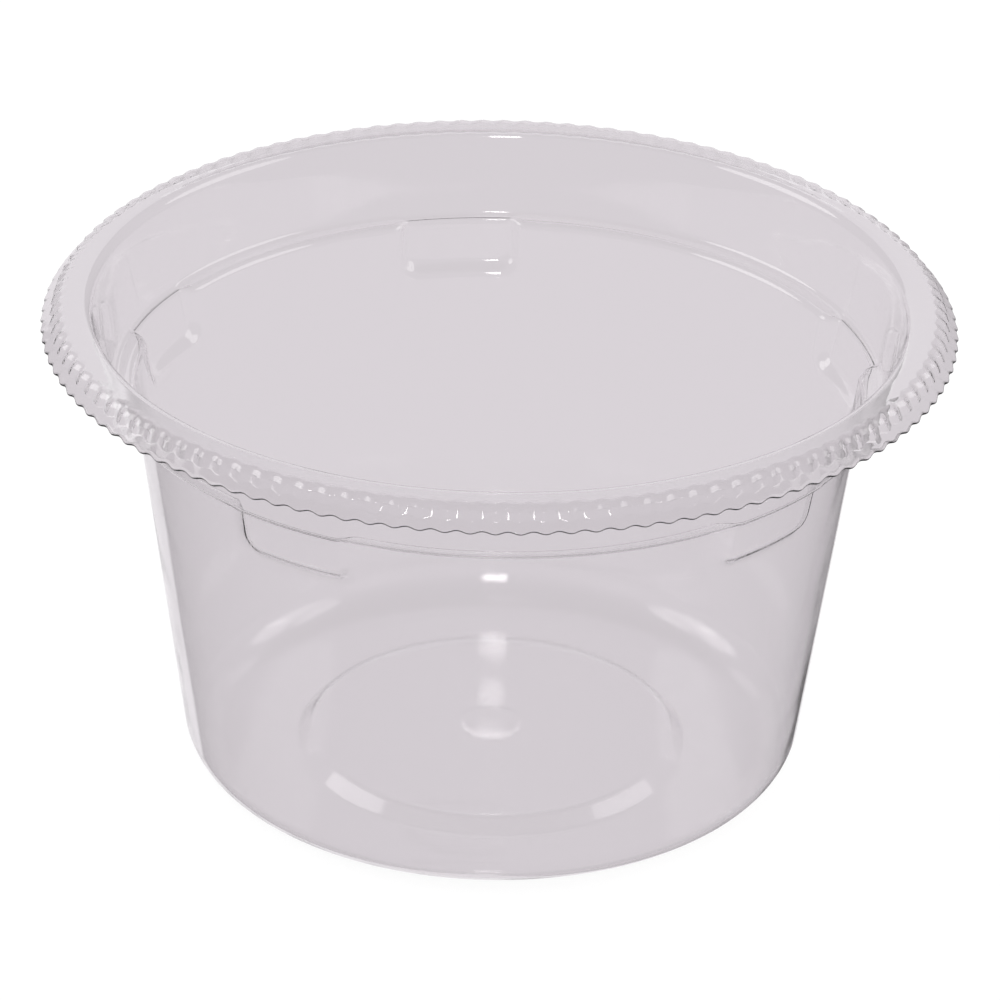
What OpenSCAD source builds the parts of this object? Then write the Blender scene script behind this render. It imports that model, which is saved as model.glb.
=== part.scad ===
// Clear dessert cup formed from one plastic sheet: a flat flange with a fluted, turned-down edge,
// a short upper wall, a stacking ledge broken by stacking pockets, a plain tapered body and a foot
// with a pushed-up centre. The origin is the middle of the standing ring, and the front is -Y.

/* [Sheet] */
// Thickness of the plastic sheet
wall = 0.3; // [0.25:0.05:0.5]

/* [Flange] */
// Diameter of the mouth at the inner edge of the flange
mouth_d = 84.6; // [70:0.2:110]
// Width of the flat top of the flange, from the mouth to where the flutes begin
flat_w = 2.9; // [2:0.1:6]
// Width of the fluted step that goes down from the flat top
step_w = 1.3; // [0.9:0.1:2]
// Height of the fluted step
step_drop = 1.7; // [1.2:0.1:2.5]
// Width of the lip outside the step
lip_w = 1; // [0.8:0.1:2]
// Drop of the lip from the foot of the step to its lowest edge
lip_drop = 0.8; // [0.7:0.1:1.5]
// Number of flutes round the edge
flutes = 120; // [60:4:132]
// Depth of the valleys between the flutes
flute_depth = 0.3; // [0.1:0.02:0.4]
// Rounding of the bend from the flat top into the mouth, on its upper side
mouth_round = 0.9; // [0.7:0.1:1.5]

/* [Upper wall and ledge] */
// Depth of the stacking ledge below the top of the flange
ledge_drop = 9.2; // [6:0.2:14]
// Radius that the upper wall loses on its way down to the ledge
upper_taper = 2.3; // [0.5:0.1:4]
// Width of the stacking ledge
ledge_w = 2.2; // [2:0.1:4]
// Rounding of the ledge's two bends, on their outer side
ledge_round = 0.7; // [0.7:0.1:1.2]

/* [Body] */
// Height from the standing ring to the top of the flange
cup_h = 52.4; // [40:0.2:80]
// Radius that the body loses between the ledge and the foot
body_taper = 5.8; // [2:0.1:10]
// Rounding between the body and the foot
foot_round = 5; // [2:0.5:7]

/* [Foot] */
// Diameter of the pushed-up centre, at the level of the standing ring
push_d = 41.6; // [24:0.2:46]
// Height of the pushed-up centre above the standing ring
push_h = 1.6; // [1:0.1:3]
// Width of the slope round the pushed-up centre
push_slope = 1.6; // [1:0.1:3]
// Rounding of the two bends at the pushed-up centre
push_round = 0.8; // [0.5:0.1:1]
// Diameter of the shallow ring in the middle of the foot
mark_d = 7; // [5:0.5:12]
// Height of the shallow ring
mark_h = 0.25; // [0.15:0.05:0.4]

/* [Stacking pockets] */
// Width of a pocket
pocket_w = 11.8; // [8:0.2:16]
// Depth of a pocket's outer edge below the ledge
pocket_drop = 5.1; // [3:0.1:7]
// Distance that a pocket's wall stands in from the upper wall at the ledge
pocket_step = 0.7; // [0.5:0.05:1]
// Radius that a pocket's wall loses on its way down to its floor
pocket_taper = 1.1; // [0.3:0.1:1.3]
// Slope of a pocket's floor, down towards the middle of the cup, in degrees
pocket_slope = 7; // [3:1:30]
// Rounding of a pocket's lower corners
pocket_round = 1.9; // [1:0.1:3]
// Rounding between a pocket's wall and its floor, on its outer side
pocket_bend = 1.2; // [0.8:0.1:1.6]

/* [Hidden] */

// Turn of each pocket from the front, in degrees. They are spaced unevenly so that cups don't jam.
pocket_turns = [-31.5, 46, 105, 187, 248.5];

// Segments in the arc of each rounded bend, and round each part of a revolve
bend_steps = 5;
$fn = 180;

// Radii and heights on the outer side of the sheet
mouth_r = mouth_d / 2;
flat_r = mouth_r + flat_w;
step_r = flat_r + step_w;
rim_r = step_r + lip_w;
step_z = cup_h - step_drop;
rim_z = step_z - lip_drop;
// Where the step bends over from the flat top
shoulder_r = flat_r + 0.6 * step_w;
shoulder_z = cup_h - 0.4 * step_drop;
neck_r = mouth_r + wall;
upper_r = neck_r - upper_taper;
body_r = upper_r - ledge_w;
foot_r = body_r - body_taper;
push_r = push_d / 2;
mark_r = mark_d / 2;
ledge_z = cup_h - ledge_drop;
// Width of the slope on each side of the shallow ring's crest
mark_slope = 3 * mark_h;
// Outer radius of a pocket's wall at the ledge and at its lower edge, and that edge's height
pocket_r = upper_r - pocket_step;
cheek_r = pocket_r - pocket_taper;
pocket_z = ledge_z - pocket_drop;
// Small overlap, where the fluted edge is set into the flat top and a window clears a floor
sink = wall / 16;
// How far cutting shapes run past what they cut
over = 1;

// Path of the sheet's outer side, from the underside of the flange to the axis: [r, z, rounding]
sheet = [
    [flat_r, cup_h - wall, 0],
    [neck_r, cup_h - wall, mouth_round - wall],
    [upper_r, ledge_z, ledge_round],
    [body_r, ledge_z, ledge_round - wall],
    [foot_r, 0, foot_round],
    [push_r, 0, push_round],
    [push_r - push_slope, push_h, push_round - wall],
    [mark_r + mark_slope, push_h, 0],
    [mark_r, push_h + mark_h, 0],
    [mark_r - mark_slope, push_h, 0],
    [0, push_h, 0]
];

// Path of a pocket's outer side, from above the ledge down its wall and in along its floor
cheek = [
    [pocket_r + over * pocket_taper / pocket_drop, ledge_z + over, 0],
    [cheek_r, pocket_z, pocket_bend],
    [body_r / 2, pocket_z - (cheek_r - body_r / 2) * tan(pocket_slope), 0]
];

function unit(v) = v / norm(v);
// Direction of the path's segment that starts at point i, and its normal on the inner side
function along(path, i) = unit([path[i + 1][0] - path[i][0], path[i + 1][1] - path[i][1]]);
function inward(d) = [d[1], -d[0]];
function cross2(a, b) = a[0] * b[1] - a[1] * b[0];

// Point i of the path moved in by t, on the mitre of its two segments
function moved(path, i, t) =
    let (last = len(path) - 1)
    let (before = along(path, max(i - 1, 0)))
    let (after = along(path, min(i, last - 1)))
    let (side = inward(before) + inward(after))
    let (shift = t * side / (1 + inward(before) * inward(after)))
    [path[i][0] + shift[0], path[i][1] + shift[1]];

// The path moved in by t. A bend that closes inwards loses t from its rounding, and the other gains it.
function moved_in(path, t) = [
    for (i = [0 : len(path) - 1])
        let (p = moved(path, i, t))
        let (turns = i > 0 && i < len(path) - 1 && path[i][2] > 0)
        let (turn = turns ? cross2(along(path, i - 1), along(path, i)) : 0)
        [p[0], p[1], turns ? max(path[i][2] + (turn > 0 ? t : -t), 0) : 0]
];

// Points of the arc that rounds point i of the path
function bend(path, i) =
    let (before = along(path, i - 1))
    let (after = along(path, i))
    let (turn = cross2(before, after))
    let (half = acos(before * after) / 2)
    let (r = path[i][2])
    let (side = turn > 0 ? 1 : -1)
    let (start = [path[i][0], path[i][1]] - before * r * tan(half))
    let (centre = start - side * inward(before) * r)
    let (from = atan2(start[1] - centre[1], start[0] - centre[0]))
    [for (k = [0 : bend_steps])
        centre + r * [cos(from + side * 2 * half * k / bend_steps),
                      sin(from + side * 2 * half * k / bend_steps)]];

function rounded(path) = [
    for (i = [0 : len(path) - 1])
        each path[i][2] > 0 ? bend(path, i) : [[path[i][0], path[i][1]]]
];

// Solid of revolution inside the sheet's surface at depth t, closed at height top and radius out
module bowl(t, out, top) {
    rotate_extrude()
        polygon(concat(rounded(moved_in(sheet, t)), [[0, top], [out, top]]));
}

// Window of a pocket, seen along its floor: a tall opening with two rounded lower corners
module window(w, tall, r) {
    translate([-w / 2, r])
        square([w, tall]);
    translate([-w / 2 + r, 0])
        square([w - 2 * r, r + over]);
    for (side = [-1, 1])
        translate([side * (w / 2 - r), r])
            circle(r);
}

// Solid of one pocket at depth t: a turned wall and floor, cut to the window pushed in along the floor
module pocket(t) {
    reach = pocket_drop + ledge_w;
    path = moved_in(cheek, t);
    intersection() {
        translate([0, -cheek_r, pocket_z - sink])
            rotate([-pocket_slope, 0, 0])
                translate([0, -reach, t])
                    rotate([90, 0, 180])
                        linear_extrude(reach + ledge_w + 2 * over)
                            window(pocket_w - 2 * t, 2 * reach, pocket_round - t);
        rotate_extrude()
            polygon(concat(rounded(path), [[0, path[2][1]], [0, ledge_z + over]]));
    }
}

module pockets(t) {
    for (turn = pocket_turns)
        rotate(turn)
            pocket(t);
}

// Height of the flutes at the columns of one pitch: a valley, and a broader crest
crests = [0, 0.6, 1, 0.6];

// Section of the fluted edge on a crest, from the flat top over the step and lip and back
// underneath: [r, z, share of a valley's depth cut inwards there, share cut downwards]
edge = [
    [flat_r - wall, cup_h - sink, 0, 0],
    [flat_r + wall / 2, cup_h - 2 * sink, 0.3, 0.2],
    [shoulder_r, shoulder_z, 0.8, 0.5],
    [step_r, step_z, 1, 0.2],
    [rim_r - wall / 4, rim_z + wall, 0.7, -0.8],
    [rim_r, rim_z, 0.7, -0.8],
    [rim_r - wall, rim_z, 0.7, -0.8],
    [step_r - wall, step_z - wall, 1, 0.2],
    [shoulder_r - wall, shoulder_z - wall / 2, 0.8, 0.5],
    [flat_r - wall, cup_h - wall + sink, 0, 0]
];

// Fluted edge of the flange, swept section by section round the cup
module fluted_edge() {
    pitch = len(crests);
    columns = pitch * flutes;
    size = len(edge);
    points = [
        for (i = [0 : columns - 1])
            for (p = edge)
                let (cut = flute_depth * (1 - crests[i % pitch]))
                let (r = p[0] - p[2] * cut)
                let (turn = 360 * (i + pitch / 2) / columns)
                [r * cos(turn), r * sin(turn), p[1] - p[3] * cut]
    ];
    faces = [
        for (i = [0 : columns - 1])
            for (j = [0 : size - 1])
                let (a = i * size, b = ((i + 1) % columns) * size, n = (j + 1) % size)
                each [[a + j, b + n, a + n], [a + j, b + j, b + n]]
    ];
    polyhedron(points, faces);
}

module cup() {
    color([0.86, 0.87, 0.9, 0.4]) {
        difference() {
            union() {
                bowl(0, flat_r, cup_h);
                pockets(0);
            }
            bowl(wall, flat_r + over, cup_h + over);
            pockets(wall);
        }
        fluted_edge();
    }
}

cup();
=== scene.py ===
"""Visual model of a clear dessert cup, formed from one plastic sheet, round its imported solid."""

import logging
import math
from dataclasses import dataclass, field
from enum import Enum

import bmesh
import bpy
import numpy as np
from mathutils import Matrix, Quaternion, Vector


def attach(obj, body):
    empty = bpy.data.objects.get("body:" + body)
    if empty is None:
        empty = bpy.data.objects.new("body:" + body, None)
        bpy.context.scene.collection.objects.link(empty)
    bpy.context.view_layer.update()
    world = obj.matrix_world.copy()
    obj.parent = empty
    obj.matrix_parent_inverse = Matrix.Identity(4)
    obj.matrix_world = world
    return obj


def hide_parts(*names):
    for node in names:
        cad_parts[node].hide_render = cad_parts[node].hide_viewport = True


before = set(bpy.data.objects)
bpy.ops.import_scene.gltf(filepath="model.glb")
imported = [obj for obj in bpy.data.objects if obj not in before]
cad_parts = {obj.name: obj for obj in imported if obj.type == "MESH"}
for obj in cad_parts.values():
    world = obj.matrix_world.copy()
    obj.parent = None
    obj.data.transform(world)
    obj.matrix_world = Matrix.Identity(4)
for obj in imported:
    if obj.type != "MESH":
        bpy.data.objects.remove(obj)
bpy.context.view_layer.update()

LOG = logging.getLogger("cup")
MM = 0.001
FULL_TURN = 360.0
NODE = "cup"

Point = tuple[float, float]
Profile = list[Point]
Ring = list[bmesh.types.BMVert]
Values = np.ndarray


class Stage(Enum):
    """Colours of the studio, as linear light."""

    WHITE = (1.0, 1.0, 1.0)
    PAPER = (0.93, 0.93, 0.93)
    LILAC = (0.705, 0.667, 0.698)
    CEILING = (0.2, 0.185, 0.17)
    BACKDROP = (0.95, 0.93, 0.95)
    ROOM = (0.15, 0.145, 0.145)
    LAMP = (1.0, 0.99, 0.98)


class LampShape(Enum):
    """Outlines of a lamp."""

    PANEL = "RECTANGLE"
    ROUND = "ELLIPSE"


def smooth(x: float) -> float:
    """Returns x clamped to 0..1 and eased at both ends."""
    x = min(max(x, 0.0), 1.0)
    return x * x * (3.0 - 2.0 * x)


def mix(a: float, b: float, w: float) -> float:
    """Returns the value that is w of the way from a to b."""
    return a + (b - a) * w


def round_inner(a: Values, b: Values, radius: float) -> Values:
    """Joins two distances to what lies inside both surfaces, with their edge rounded.

    Args:
        a: Distances outside the first surface, negative inside.
        b: Distances outside the second surface.
        radius: Radius of the edge where they meet.

    Returns:
        The distances outside the rounded shape.
    """
    edge = np.hypot(np.maximum(a + radius, 0.0), np.maximum(b + radius, 0.0))
    return np.minimum(np.maximum(a, b), -radius) + edge


def line(a: Point, b: Point, steps: int) -> Profile:
    """Returns steps points from just after a to b."""
    return [(mix(a[0], b[0], k / steps), mix(a[1], b[1], k / steps)) for k in range(1, steps + 1)]


def bend(before: Point, corner: Point, after: Point, radius: float, steps: int) -> Profile:
    """Rounds one corner of a profile.

    Args:
        before: A point of the profile on the way to the corner.
        corner: The corner, where the straight runs would meet.
        after: A point of the profile past the corner.
        radius: Radius of the arc.
        steps: Number of segments in the arc.

    Returns:
        The arc's points, its two tangent points included.
    """
    c = Vector(corner)
    d1 = (c - Vector(before)).normalized()
    d2 = (Vector(after) - c).normalized()
    half = math.acos(max(-1.0, min(1.0, d1.dot(d2)))) / 2
    side = 1.0 if d1.x * d2.y - d1.y * d2.x > 0 else -1.0
    start = c - d1 * radius * math.tan(half)
    centre = start + Vector((-d1.y, d1.x)) * side * radius
    first = math.atan2(start.y - centre.y, start.x - centre.x)
    points: Profile = []
    for k in range(steps + 1):
        a = first + side * 2 * half * k / steps
        points.append((centre.x + radius * math.cos(a), centre.y + radius * math.sin(a)))
    return points


@dataclass
class Sheet:
    """Sizes of the formed sheet in millimetres.

    The derived ones lie in the middle of its thickness.
    """

    height: float = 52.4
    wall: float = 0.3
    mouth_r: float = 42.3
    mouth_bend: float = 1.2
    flat_w: float = 2.9
    ledge_drop: float = 9.2
    ledge_w: float = 2.2
    ledge_bend: float = 0.9
    brow_bend: float = 0.9
    upper_taper: float = 2.3
    body_taper: float = 5.8
    foot_bend: float = 4.8
    push_r: float = 20.8
    push_h: float = 1.6
    push_slope: float = 1.6
    push_bend: float = 0.9
    mark_r: float = 3.5
    mark_h: float = 0.08

    @property
    def half(self) -> float:
        """Half the sheet's thickness."""
        return self.wall / 2

    @property
    def top_z(self) -> float:
        """Height of the flat top."""
        return self.height - self.half

    @property
    def flat_r(self) -> float:
        """Radius at which the flutes begin."""
        return self.mouth_r + self.flat_w

    @property
    def flat_point(self) -> Point:
        """A point of the flat top, just inside the flutes."""
        return self.flat_r - 1.0, self.top_z

    @property
    def neck(self) -> Point:
        """Corner between the flat top and the upper wall."""
        return self.mouth_r + self.half, self.top_z

    @property
    def shelf(self) -> Point:
        """Corner between the upper wall and the ledge."""
        return self.neck[0] - self.upper_taper, self.height - self.ledge_drop + self.half

    @property
    def brow(self) -> Point:
        """Corner between the ledge and the body."""
        return self.shelf[0] - self.ledge_w, self.shelf[1]

    @property
    def heel(self) -> Point:
        """Corner between the body and the standing ring."""
        return self.brow[0] - self.body_taper, self.half

    def body_at(self, z: float) -> float:
        """Returns the body's radius at height z."""
        return mix(self.heel[0], self.brow[0], (z - self.heel[1]) / (self.brow[1] - self.heel[1]))


@dataclass
class Flutes:
    """The fluted edge of the flange, given by its section on a crest and in a valley.

    Each section runs from the cut edge of the lip over the foot and knee of the step to its
    shoulder, as distances out from the flat top and down below it.
    """

    count: int = 120
    columns: int = 8
    crest_path: Profile = field(
        default_factory=lambda: [(2.17, 2.22), (1.22, 1.5), (0.86, 0.56), (0.22, 0.0)]
    )
    valley_path: Profile = field(
        default_factory=lambda: [(1.98, 2.0), (0.97, 1.33), (0.5, 0.66), (0.06, 0.0)]
    )
    foot_bend: float = 0.5
    knee_bend: float = 0.5
    shoulder_bend: float = 1.0
    lip_steps: int = 3
    foot_steps: int = 5
    knee_steps: int = 4
    shoulder_steps: int = 5
    edge_share: float = 0.75
    thin_w: float = 1.2

    def crest(self, x: float) -> float:
        """Returns the share of a crest x pitches from the front: 1 on a ridge, 0 in a valley."""
        return math.cos(math.pi * x) ** 2

    def path(self, sheet: Sheet, corners: Profile) -> Profile:
        """Rounds one section of the edge and returns it from the cut edge to the flat top."""
        places = [(sheet.flat_r + out, sheet.top_z - down) for out, down in corners]
        tip, foot, knee, shoulder = places
        arc = bend(tip, foot, knee, self.foot_bend, self.foot_steps)
        path = [tip] + line(tip, arc[0], self.lip_steps)[:-1] + arc
        path += bend(foot, knee, shoulder, self.knee_bend, self.knee_steps)
        return path + bend(
            knee, shoulder, sheet.flat_point, self.shoulder_bend, self.shoulder_steps
        )

    def rows(self, sheet: Sheet) -> list[tuple[Point, Point, float]]:
        """Works out the rows of the edge.

        Args:
            sheet: The sheet that the edge belongs to.

        Returns:
            For each row the point on a crest, the point in a valley, and the share of the sheet's
            thickness that the lip has there.
        """
        crest, valley = self.path(sheet, self.crest_path), self.path(sheet, self.valley_path)
        rows: list[tuple[Point, Point, float]] = []
        for high, low in zip(crest, valley):
            away = math.dist(high, crest[0])
            rows.append((high, low, mix(self.edge_share, 1.0, smooth(away / self.thin_w))))
        return rows


@dataclass
class Pockets:
    """The stacking pockets that break the ledge.

    Their turns from the front, the slope of their floors and the draft of their flanks are in
    degrees. The radius at a height is found by halving the range of radii that is searched.
    """

    turns: tuple[float, ...] = (-31.5, 46.0, 105.0, 187.0, 248.5)
    middle_r: float = 38.5
    half_width: float = 6.45
    drop: float = 5.1
    step: float = 0.7
    taper: float = 1.1
    slope: float = 7.0
    draft: float = 15.0
    corner: float = 1.9
    wall_bend: float = 0.6
    foot_bend: float = 1.2
    search: Point = (20.0, 45.0)
    halvings: int = 30

    def away(self, angle: float) -> float:
        """Returns the distance along the wall from angle to the middle of the nearest pocket."""
        half = FULL_TURN / 2
        best = min(abs((angle - turn + half) % FULL_TURN - half) for turn in self.turns)
        return math.radians(best) * self.middle_r

    def gap(self, sheet: Sheet, away: Values, r: Values, z: Values) -> Values:
        """Measures how far points lie outside the body and its pockets, negative inside.

        Args:
            sheet: The sheet that the pockets belong to.
            away: Distances of the points from the middle of a pocket.
            r: Their radii.
            z: Their heights.

        Returns:
            The distances in millimetres.
        """
        top_r, top_z = sheet.shelf[0] - self.step, sheet.shelf[1]
        low_r, low_z = top_r - self.taper, top_z - self.drop
        length = math.hypot(self.drop, self.taper)
        wall = ((r - top_r) * self.drop - (z - top_z) * self.taper) / length
        s, d = math.radians(self.slope), math.radians(self.draft)
        base = (r - low_r) * math.sin(s) - (z - low_z) * math.cos(s)
        flank = (away - self.half_width) * math.cos(d) + (r - sheet.body_at(low_z)) * math.sin(d)
        window = round_inner(flank, base, self.corner)
        bump = round_inner(wall, window, self.wall_bend)
        return -round_inner(-(r - sheet.body_at(z)), -bump, self.foot_bend)

    def radii(self, sheet: Sheet, away: float, z: Values) -> Values:
        """Returns the radii of the body or pocket at heights z, at a distance from a pocket."""
        low = np.full_like(z, self.search[0])
        high = np.full_like(z, self.search[1])
        for _ in range(self.halvings):
            middle = (low + high) / 2
            outside = self.gap(sheet, np.full_like(z, away), middle, z) > 0
            high = np.where(outside, middle, high)
            low = np.where(outside, low, middle)
        return (low + high) / 2


@dataclass(frozen=True)
class ClearSheet:
    """Finish of clear, polished plastic sheet."""

    tint: tuple[float, float, float] = (0.985, 0.98, 0.985)
    ior: float = 1.57
    roughness: float = 0.05
    wave_scale: float = 120.0
    wave_detail: float = 1.0
    wave_height: float = 0.00004

    def waves(self) -> bpy.types.ShaderNodeTree:
        """Returns the node group of the slight waves that forming leaves in the sheet."""
        group = bpy.data.node_groups.new("forming_waves", "ShaderNodeTree")
        group.interface.new_socket("Normal", in_out="OUTPUT", socket_type="NodeSocketVector")
        nodes, links = group.nodes, group.links
        place = nodes.new("ShaderNodeTexCoord")
        noise = nodes.new("ShaderNodeTexNoise")
        noise.inputs["Scale"].default_value = self.wave_scale
        noise.inputs["Detail"].default_value = self.wave_detail
        links.new(place.outputs["Object"], noise.inputs["Vector"])
        bump = nodes.new("ShaderNodeBump")
        bump.inputs["Strength"].default_value = 1.0
        bump.inputs["Distance"].default_value = self.wave_height
        links.new(noise.outputs["Fac"], bump.inputs["Height"])
        links.new(bump.outputs["Normal"], nodes.new("NodeGroupOutput").inputs["Normal"])
        return group

    def material(self) -> bpy.types.Material:
        """Returns the material of the sheet."""
        mat = bpy.data.materials.new("clear_sheet")
        mat.use_nodes = True
        shader = mat.node_tree.nodes["Principled BSDF"]
        shader.inputs["Base Color"].default_value = (*self.tint, 1.0)
        shader.inputs["Metallic"].default_value = 0.0
        shader.inputs["Transmission Weight"].default_value = 1.0
        shader.inputs["IOR"].default_value = self.ior
        shader.inputs["Roughness"].default_value = self.roughness
        effect = mat.node_tree.nodes.new("ShaderNodeGroup")
        effect.node_tree = self.waves()
        mat.node_tree.links.new(effect.outputs["Normal"], shader.inputs["Normal"])
        return mat


@dataclass
class CupShell:
    """Builds the cup's middle surface ring by ring, thickens it and gives it its finish.

    Lengths are in millimetres.
    """

    sheet: Sheet = field(default_factory=Sheet)
    flutes: Flutes = field(default_factory=Flutes)
    pockets: Pockets = field(default_factory=Pockets)
    finish: ClearSheet = field(default_factory=ClearSheet)
    # Columns round the foot and round the wall, which stand close together in a zone at each flank
    # of a pocket. Farther from a pocket than its reach, the wall is plain.
    foot_columns: int = 160
    last_angle: float = 359.9
    wide_column: float = 1.3
    close_column: float = 0.16
    close_zone: Point = (-2.2, 0.9)
    pocket_reach: float = 10.0
    # How far inside the flutes their columns end and the wall's columns start, and the segments
    # from there down to the ledge
    flutes_end: float = 0.6
    wall_start: float = 1.1
    mouth_steps: int = 8
    run_steps: int = 3
    ledge_steps: int = 7
    # Drop of the second point that shows how the wall leaves the ledge, and the dip and bend of
    # the narrow step that a pocket leaves of it
    below_brow: float = 1.5
    step_dip: float = 0.35
    step_bend: float = 0.3
    # Rows down to just below the pockets, which crowd together round the height of their floors
    samples: int = 700
    wall_steps: int = 22
    floor_crowd: float = 1.5
    floor_middle: float = 0.2
    floor_reach: float = 1.0
    below_floor: float = 1.6
    # Rows of the body, the foot and its middle, with the low ring round it
    body_steps: int = 2
    body_end: float = 2.5
    foot_steps: int = 14
    push_steps: int = 6
    plain_r: float = 12.0
    mark_steps: int = 4
    mark_w: float = 0.9
    mark_flat: float = 1.1
    middle_r: float = 1.0
    # Segments round the cut edge of the lip
    rim_steps: int = 5

    def wall_angles(self) -> list[float]:
        """Returns the columns of the wall, close together at the flanks of the pockets."""
        p = self.pockets
        angles: list[float] = []
        angle = 0.0
        while angle < self.last_angle:
            angles.append(angle)
            close = self.close_zone[0] < p.away(angle) - p.half_width < self.close_zone[1]
            angle += math.degrees((self.close_column if close else self.wide_column) / p.middle_r)
        return angles

    def edge_angles(self) -> list[float]:
        """Returns the columns of the fluted edge, with the same number on each flute."""
        total = self.flutes.count * self.flutes.columns
        return [FULL_TURN * k / total for k in range(total)]

    @property
    def low_z(self) -> float:
        """Height below which no pocket reaches."""
        return self.sheet.shelf[1] - self.pockets.drop - self.below_floor

    def wall_rows(self, away: float) -> Profile:
        """Works out the rows from the upper wall down past the pockets.

        Args:
            away: Distance of the column from the middle of the nearest pocket.

        Returns:
            The rows over what a pocket leaves of the ledge, then down it and the body.
        """
        s, p = self.sheet, self.pockets
        z = s.brow[1] - np.array([0.0, self.below_brow])
        inner, below = zip(p.radii(s, away, z).tolist(), z.tolist())
        left = (s.shelf[0] - inner[0]) / s.ledge_w
        inner = (inner[0], inner[1] - self.step_dip * (1.0 - left))
        radius = mix(self.step_bend, s.brow_bend, smooth(left))
        first = bend(s.neck, s.shelf, inner, s.ledge_bend, self.ledge_steps)
        second = bend(s.shelf, inner, below, radius, self.ledge_steps)
        rows = first + line(first[-1], second[0], self.run_steps)[:-1] + second
        z = np.linspace(second[-1][1], self.low_z, self.samples)
        r = p.radii(s, away, z)
        floor_z = s.brow[1] - p.drop
        apart = (z - floor_z - self.floor_middle) / self.floor_reach
        close = 1.0 + self.floor_crowd * np.exp(-(apart ** 2))
        steps = np.hypot(np.diff(r), np.diff(z)) * (close[1:] + close[:-1]) / 2
        length = np.concatenate(([0.0], np.cumsum(steps)))
        at = np.linspace(0.0, length[-1], self.wall_steps + 1)[1:]
        rows += zip(np.interp(at, length, r).tolist(), np.interp(at, length, z).tolist())
        return rows

    def top_rows(self) -> Profile:
        """Returns the flat top's inner part and the bend into the mouth, down the upper wall."""
        s = self.sheet
        flat = (s.flat_r - self.wall_start, s.top_z)
        arc = bend(flat, s.neck, s.shelf, s.mouth_bend, self.mouth_steps)
        down = bend(s.neck, s.shelf, s.brow, s.ledge_bend, 1)[0]
        return [flat] + arc + line(arc[-1], down, self.run_steps)[:-1]

    def foot_rows(self) -> Profile:
        """Returns the rows from the body round the foot to the middle."""
        s = self.sheet
        low = self.low_z
        start = (s.body_at(low), low)
        out = (s.push_r, s.half)
        up = (s.push_r - s.push_slope, s.half + s.push_h)
        end = low / 2 + self.body_end
        path = line(start, (s.body_at(end), end), self.body_steps)
        path += bend(start, s.heel, out, s.foot_bend, self.foot_steps)
        path += bend(s.heel, out, up, s.push_bend, self.push_steps)
        path += bend(out, up, (0.0, up[1]), s.push_bend, self.push_steps)
        path += [(self.plain_r, up[1]), (s.mark_r + self.mark_flat, up[1])]
        for k in range(1, 2 * self.mark_steps):
            x = 1.0 - k / self.mark_steps
            lift = s.mark_h * (0.5 + 0.5 * math.cos(math.pi * x))
            path.append((s.mark_r + x * self.mark_w, up[1] + lift))
        return path + [(s.mark_r - self.mark_flat, up[1]), (self.middle_r, up[1])]

    def build(self) -> bpy.types.Object:
        """Builds the whole shell.

        Returns:
            The mesh object of the cup, with its true thickness.
        """
        mesh = bmesh.new()
        rings: list[tuple[Ring, list[float]]] = []
        edge, wall = self.edge_angles(), self.wall_angles()
        plain = [FULL_TURN * k / self.foot_columns for k in range(self.foot_columns)]
        shares: list[float] = []
        for high, low, share in self.flutes.rows(self.sheet):
            rings.append((self.edge_ring(mesh, high, low, edge), edge))
            shares += [share] * len(edge)
        inside = self.sheet.flat_r - self.flutes_end
        rings.append((self.plain_ring(mesh, inside, self.sheet.top_z, edge), edge))
        for r, z in self.top_rows():
            rings.append((self.plain_ring(mesh, r, z, wall), wall))
        rings += [(ring, wall) for ring in self.wall_rings(mesh, wall)]
        for r, z in self.foot_rows():
            rings.append((self.plain_ring(mesh, r, z, plain), plain))
        for (upper, a), (lower, b) in zip(rings, rings[1:]):
            self.join(mesh, upper, a, lower, b)
        self.close(mesh, rings[-1][0])
        return self.thicken(mesh, len(edge), shares)

    def dress(self, shell: bpy.types.Object) -> None:
        """Gives the shell its finish."""
        shell.data.materials.append(self.finish.material())

    def place(
        self, mesh: bmesh.types.BMesh, angle: float, r: float, z: float
    ) -> bmesh.types.BMVert:
        """Adds a vertex in metres, at an angle from the front, and returns it."""
        a = math.radians(angle)
        return mesh.verts.new((r * math.sin(a) * MM, -r * math.cos(a) * MM, z * MM))

    def plain_ring(
        self, mesh: bmesh.types.BMesh, r: float, z: float, angles: list[float]
    ) -> Ring:
        """Adds a round ring and returns its vertices."""
        return [self.place(mesh, a, r, z) for a in angles]

    def edge_ring(
        self, mesh: bmesh.types.BMesh, high: Point, low: Point, angles: list[float]
    ) -> Ring:
        """Adds one ring of the fluted edge.

        Args:
            mesh: Mesh that takes the ring.
            high: Radius and height on a crest.
            low: Radius and height in a valley.
            angles: Columns of the ring.

        Returns:
            The ring's vertices.
        """
        ring: Ring = []
        for k, angle in enumerate(angles):
            w = self.flutes.crest(k / self.flutes.columns)
            ring.append(self.place(mesh, angle, mix(low[0], high[0], w), mix(low[1], high[1], w)))
        return ring

    def wall_rings(self, mesh: bmesh.types.BMesh, angles: list[float]) -> list[Ring]:
        """Adds the rings of the ledge and its pockets, and returns them from the top down."""
        columns: list[Ring] = []
        plain = self.wall_rows(self.pocket_reach)
        for angle in angles:
            away = self.pockets.away(angle)
            rows = self.wall_rows(away) if away < self.pocket_reach else plain
            columns.append([self.place(mesh, angle, r, z) for r, z in rows])
        return [list(ring) for ring in zip(*columns)]

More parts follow.
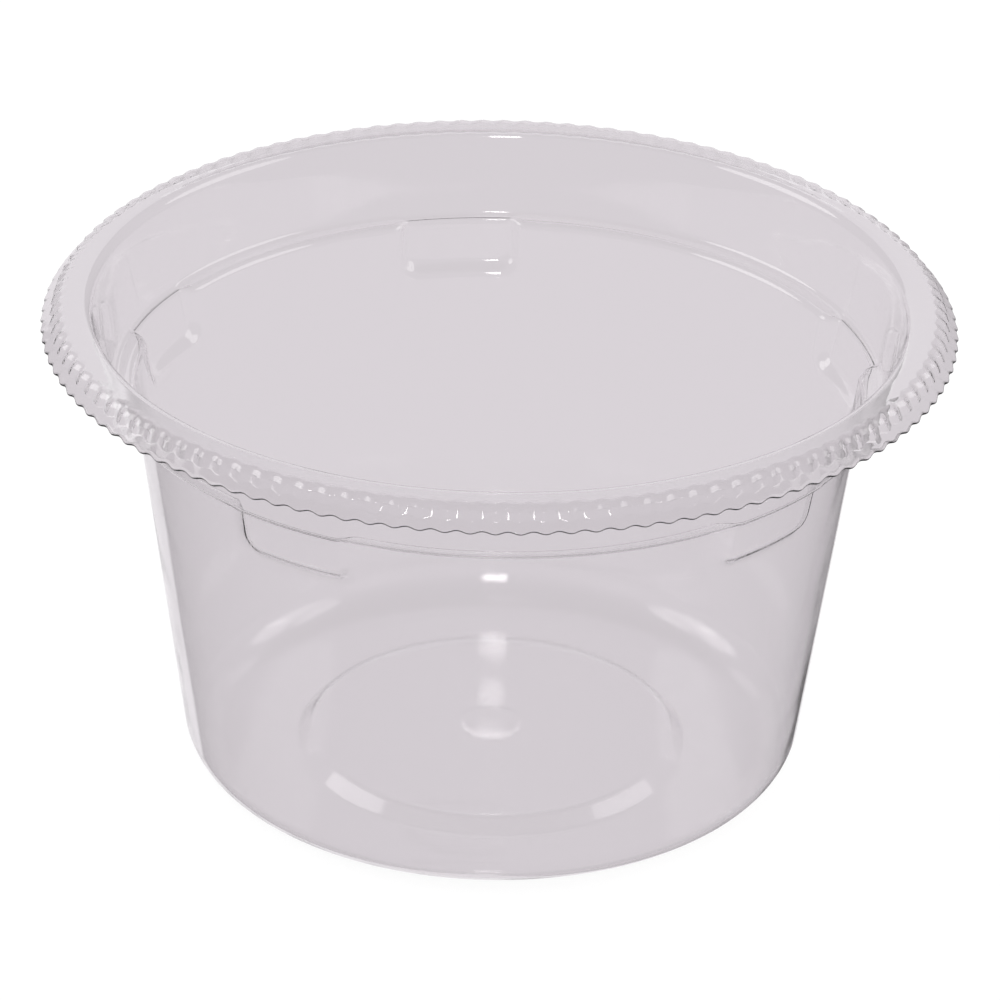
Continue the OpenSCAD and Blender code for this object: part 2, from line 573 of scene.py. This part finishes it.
    def join(
        self,
        mesh: bmesh.types.BMesh,
        upper: Ring,
        a: list[float],
        lower: Ring,
        b: list[float],
    ) -> None:
        """Fills the band between two rings, which may have different columns.

        Args:
            mesh: Mesh that takes the faces.
            upper: Vertices of the outer or upper ring.
            a: Angles of the upper ring.
            lower: Vertices of the inner or lower ring.
            b: Angles of the lower ring.
        """
        n, m = len(upper), len(lower)
        if a == b:
            for k in range(n):
                j = (k + 1) % n
                mesh.faces.new((upper[k], lower[k], lower[j], upper[j]))
            return
        i = j = 0
        while i < n or j < m:
            next_a = a[i + 1] if i + 1 < n else FULL_TURN + a[0]
            next_b = b[j + 1] if j + 1 < m else FULL_TURN + b[0]
            if j >= m or (i < n and next_a <= next_b):
                mesh.faces.new((upper[i % n], lower[j % m], upper[(i + 1) % n]))
                i += 1
            else:
                mesh.faces.new((upper[i % n], lower[j % m], lower[(j + 1) % m]))
                j += 1

    def close(self, mesh: bmesh.types.BMesh, ring: Ring) -> None:
        """Closes the middle of the foot with a fan round one vertex."""
        z = sum(v.co.z for v in ring) / len(ring)
        middle = mesh.verts.new((0.0, 0.0, z))
        for k, vert in enumerate(ring):
            mesh.faces.new((vert, middle, ring[(k + 1) % len(ring)]))

    def thicken(
        self, mesh: bmesh.types.BMesh, edge: int, shares: list[float]
    ) -> bpy.types.Object:
        """Gives the middle surface its thickness and rounds its cut edge.

        Args:
            mesh: The middle surface, whose first vertices are the rings of the fluted edge.
            edge: Number of vertices in one of those rings.
            shares: Shares of the thickness at the first vertices. The others take all of it.

        Returns:
            The solid shell as an object with smooth faces.
        """
        bmesh.ops.recalc_face_normals(mesh, faces=mesh.faces[:])
        mesh.verts.index_update()
        mesh.normal_update()
        count = len(mesh.verts)
        places = np.array([v.co for v in mesh.verts])
        normals = np.array([v.normal for v in mesh.verts])
        faces = [[v.index for v in face.verts] for face in mesh.faces]
        mesh.free()
        half = self.sheet.half * MM * np.array(shares + [1.0] * (count - len(shares)))[:, None]
        skins = [places + normals * half, places - normals * half]
        faces += [[count + k for k in reversed(face)] for face in faces]
        out = places[:edge] - places[edge:2 * edge]
        out -= normals[:edge] * np.sum(out * normals[:edge], axis=1, keepdims=True)
        out /= np.linalg.norm(out, axis=1, keepdims=True)
        first = list(range(edge))
        for k in range(1, self.rim_steps):
            a = math.pi * k / self.rim_steps
            turned = normals[:edge] * math.cos(a) + out * math.sin(a)
            skins.append(places[:edge] + turned * half[:edge])
            start = 2 * count + (k - 1) * edge
            ring = list(range(start, start + edge))
            faces += self.band(first, ring)
            first = ring
        faces += self.band(first, list(range(count, count + edge)))
        data = bpy.data.meshes.new("cup_shell")
        data.from_pydata(np.concatenate(skins).tolist(), [], faces)
        whole = bmesh.new()
        whole.from_mesh(data)
        bmesh.ops.recalc_face_normals(whole, faces=whole.faces[:])
        whole.to_mesh(data)
        whole.free()
        for face in data.polygons:
            face.use_smooth = True
        shell = bpy.data.objects.new("cup_shell", data)
        bpy.context.scene.collection.objects.link(shell)
        return shell

    def band(self, upper: list[int], lower: list[int]) -> list[list[int]]:
        """Returns the faces between two rings of the same number of vertices."""
        n = len(upper)
        return [[upper[k], lower[k], lower[(k + 1) % n], upper[(k + 1) % n]] for k in range(n)]


@dataclass
class Studio:
    """Floor, lamps, surroundings and camera, with lengths in metres and angles in degrees."""

    lens: float = 216.0
    sensor: float = 36.0
    nearest: float = 0.01
    distance: float = 0.632
    elevation: float = 27.79
    roll: float = 1.21
    aim: tuple[float, float, float] = (0.00003, 0.0, 0.02802)
    shift: tuple[float, float] = (0.004, 0.0073)
    floor_r: float = 3.0
    floor_sides: int = 64
    floor_grey: float = 0.1
    floor_roughness: float = 0.9
    floor_glow: float = 0.9
    # A soft patch of the surroundings ends at its reach's first angle and is full at its second
    backdrop_turn: float = -9.5
    backdrop_reach: Point = (24.5, 20.5)
    ceiling_reach: Point = (52.0, 20.0)
    main_place: tuple[float, float, float] = (0.0, -1.176, 0.97)
    main_size: Point = (0.2, 0.34)
    main_power: float = 2.0
    # Each side has the same three boxes, one in the other, given by name, size and power, and a
    # direction, a height and a share of that power of its own
    side_out: float = 1.25
    side_back: float = 0.06
    side_lamps: tuple[tuple[float, float, float], ...] = ((-1.0, 0.86, 1.05), (1.0, 0.9, 0.78))
    side_boxes: tuple[tuple[str, Point, float], ...] = (
        ("wide_box", (1.1, 0.8), 3.2),
        ("soft_box", (0.75, 0.52), 1.9),
        ("inner_box", (0.42, 0.28), 0.6),
    )
    bounces: int = 18
    glossy_bounces: int = 12

    def camera(self) -> None:
        """Places the camera at the photograph's viewing angle."""
        data = bpy.data.cameras.new("camera")
        data.lens = self.lens
        data.sensor_width = self.sensor
        data.sensor_fit = "HORIZONTAL"
        data.shift_x, data.shift_y = self.shift
        data.clip_start = self.nearest
        cam = bpy.data.objects.new("camera", data)
        bpy.context.scene.collection.objects.link(cam)
        e = math.radians(self.elevation)
        ahead = Vector((0.0, math.cos(e), -math.sin(e)))
        cam.location = Vector(self.aim) - ahead * self.distance
        cam.rotation_mode = "QUATERNION"
        turn = ahead.to_track_quat("-Z", "Y")
        cam.rotation_quaternion = turn @ Quaternion((0.0, 0.0, 1.0), math.radians(self.roll))
        bpy.context.scene.camera = cam

    def floor(self) -> None:
        """Adds the pale floor that the cup stands on."""
        mesh = bmesh.new()
        bmesh.ops.create_circle(
            mesh, cap_ends=True, radius=self.floor_r, segments=self.floor_sides
        )
        data = bpy.data.meshes.new("floor")
        mesh.to_mesh(data)
        mesh.free()
        floor = bpy.data.objects.new("floor", data)
        bpy.context.scene.collection.objects.link(floor)
        mat = bpy.data.materials.new("floor")
        mat.use_nodes = True
        nodes, links = mat.node_tree.nodes, mat.node_tree.links
        shader = nodes["Principled BSDF"]
        grey = self.floor_grey
        shader.inputs["Base Color"].default_value = (grey, grey, grey, 1.0)
        shader.inputs["Roughness"].default_value = self.floor_roughness
        shader.inputs["Specular IOR Level"].default_value = 0.0
        path = nodes.new("ShaderNodeLightPath")
        seen = nodes.new("ShaderNodeMix")
        seen.data_type = "RGBA"
        glow = [self.floor_glow * c for c in Stage.LILAC.value]
        seen.inputs["A"].default_value = (*glow, 1.0)
        seen.inputs["B"].default_value = (*Stage.PAPER.value, 1.0)
        links.new(path.outputs["Is Camera Ray"], seen.inputs["Factor"])
        links.new(seen.outputs["Result"], shader.inputs["Emission Color"])
        shader.inputs["Emission Strength"].default_value = 1.0
        clear = nodes.new("ShaderNodeBsdfTransparent")
        blend = nodes.new("ShaderNodeMixShader")
        links.new(path.outputs["Is Glossy Ray"], blend.inputs["Fac"])
        links.new(shader.outputs["BSDF"], blend.inputs[1])
        links.new(clear.outputs["BSDF"], blend.inputs[2])
        links.new(blend.outputs["Shader"], nodes["Material Output"].inputs["Surface"])
        data.materials.append(mat)

    def world(self) -> None:
        """Sets the surroundings.

        They are white behind the cup, lilac grey with a darker ceiling through it, and a dim room
        with a pale backdrop in its reflections.
        """
        world = bpy.data.worlds.new("studio")
        bpy.context.scene.world = world
        world.use_nodes = True
        nodes, links = world.node_tree.nodes, world.node_tree.links
        place = nodes.new("ShaderNodeTexCoord").outputs["Generated"]
        level = nodes.new("ShaderNodeVectorMath")
        level.operation = "MULTIPLY"
        level.inputs[1].default_value = (1.0, 1.0, 0.0)
        links.new(place, level.inputs[0])
        unit = nodes.new("ShaderNodeVectorMath")
        unit.operation = "NORMALIZE"
        links.new(level.outputs["Vector"], unit.inputs[0])
        turn = math.radians(self.backdrop_turn)
        ahead = Vector((math.sin(turn), math.cos(turn), 0.0))
        room = self.blend(world, Stage.ROOM.value, Stage.BACKDROP.value)
        patch = self.lobe(world, unit.outputs["Vector"], ahead, self.backdrop_reach)
        links.new(patch, room.inputs["Factor"])
        path = nodes.new("ShaderNodeLightPath")
        mirrored = self.blend(world, Stage.WHITE.value, Stage.WHITE.value)
        links.new(room.outputs["Result"], mirrored.inputs["B"])
        links.new(path.outputs["Is Glossy Ray"], mirrored.inputs["Factor"])
        over = self.blend(world, Stage.LILAC.value, Stage.CEILING.value)
        up = Vector((0.0, 0.0, 1.0))
        links.new(self.lobe(world, place, up, self.ceiling_reach), over.inputs["Factor"])
        through = self.blend(world, Stage.WHITE.value, Stage.WHITE.value)
        links.new(mirrored.outputs["Result"], through.inputs["A"])
        links.new(over.outputs["Result"], through.inputs["B"])
        links.new(path.outputs["Is Transmission Ray"], through.inputs["Factor"])
        links.new(through.outputs["Result"], nodes["Background"].inputs["Color"])

    def blend(
        self, world: bpy.types.World, a: tuple[float, ...], b: tuple[float, ...]
    ) -> bpy.types.ShaderNode:
        """Adds a node to the world that mixes two colours, and returns it."""
        node = world.node_tree.nodes.new("ShaderNodeMix")
        node.data_type = "RGBA"
        node.clamp_result = False
        node.inputs["A"].default_value = (*a, 1.0)
        node.inputs["B"].default_value = (*b, 1.0)
        return node

    def lobe(
        self, world: bpy.types.World, place: bpy.types.NodeSocket, at: Vector, reach: Point
    ) -> bpy.types.NodeSocket:
        """Adds a soft round patch to the world.

        Args:
            world: World that takes the nodes.
            place: Socket with the direction that is looked up.
            at: Direction of the patch's middle.
            reach: Degrees from there at which the patch ends, and at which it is full.

        Returns:
            The socket that is 1 in the patch and 0 outside it.
        """
        nodes, links = world.node_tree.nodes, world.node_tree.links
        dot = nodes.new("ShaderNodeVectorMath")
        dot.operation = "DOT_PRODUCT"
        dot.inputs[1].default_value = at
        links.new(place, dot.inputs[0])
        edge = nodes.new("ShaderNodeMapRange")
        edge.interpolation_type = "SMOOTHSTEP"
        edge.inputs["From Min"].default_value = math.cos(math.radians(reach[0]))
        edge.inputs["From Max"].default_value = math.cos(math.radians(reach[1]))
        links.new(dot.outputs["Value"], edge.inputs["Value"])
        return edge.outputs["Result"]

    def lamp(
        self, name: str, place: Vector, size: Point, power: float, shape: LampShape
    ) -> None:
        """Adds one area lamp that faces the cup.

        Args:
            name: Name of the lamp.
            place: Where it hangs.
            size: Its width and height.
            power: Its power in watts.
            shape: Its outline.
        """
        data = bpy.data.lights.new(name, "AREA")
        data.shape = shape.value
        data.size, data.size_y = size
        data.energy = power
        data.color = Stage.LAMP.value
        lamp = bpy.data.objects.new(name, data)
        bpy.context.scene.collection.objects.link(lamp)
        lamp.location = place
        lamp.rotation_mode = "QUATERNION"
        lamp.rotation_quaternion = (Vector(self.aim) - place).to_track_quat("-Z", "Y")

    def build(self) -> None:
        """Builds the whole studio."""
        self.camera()
        self.floor()
        self.world()
        place = Vector(self.main_place)
        self.lamp("main", place, self.main_size, self.main_power, LampShape.PANEL)
        for side, height, share in self.side_lamps:
            place = Vector((side * self.side_out, self.side_back, height))
            for name, size, power in self.side_boxes:
                self.lamp(name, place, size, power * share, LampShape.ROUND)
        scene = bpy.context.scene
        scene.view_settings.view_transform = "Standard"
        scene.cycles.max_bounces = self.bounces
        scene.cycles.transmission_bounces = self.bounces
        scene.cycles.glossy_bounces = self.glossy_bounces


def main() -> None:
    """Builds the cup and its studio."""
    logging.basicConfig(level=logging.INFO, format="%(name)s: %(message)s")
    cup = CupShell()
    shell = cup.build()
    cup.dress(shell)
    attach(shell, "root")
    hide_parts(NODE)
    triangles = sum(len(face.vertices) - 2 for face in shell.data.polygons)
    LOG.info("%s: %d triangles", shell.name, triangles)
    Studio().build()
    LOG.info("studio: floor, world, camera and lamps")


if __name__ == "__main__":
    main()
